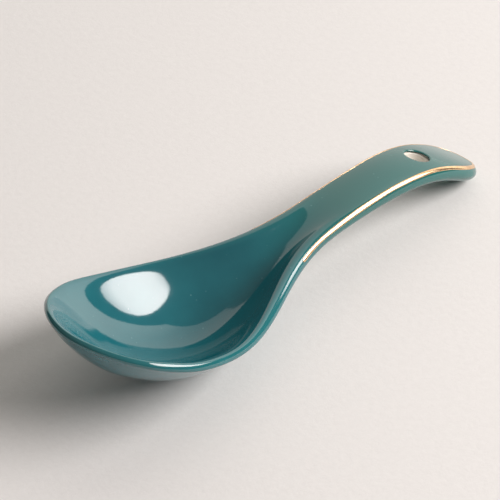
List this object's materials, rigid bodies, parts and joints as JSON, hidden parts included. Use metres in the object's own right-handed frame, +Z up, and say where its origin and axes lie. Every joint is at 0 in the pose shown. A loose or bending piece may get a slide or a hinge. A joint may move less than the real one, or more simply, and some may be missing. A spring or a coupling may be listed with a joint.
{
  "type": "chinese soup spoon",
  "caption": "Glazed ceramic soup spoon: deep oval bowl, narrow neck, short arched handle pierced for hanging, gold line along the handle's upper edge.",
  "frame": {"origin": "middle of the flat foot under the bowl, on the table", "axes": "+X along the spoon from the foot to the handle end, +Y across, +Z up from the table the spoon lies on"},
  "size_m": [0.1404, 0.0446, 0.0287],
  "materials": {
    "bare_clay": "matt, bare fired clay in the hanging hole",
    "teal_glaze": "high gloss",
    "gold": "bright fired gold line"
  },
  "bodies": {
    "root": {"clay_body": "bare_clay", "glaze_coat": "teal_glaze", "gold_line": "gold"}
  },
  "joints": []
}
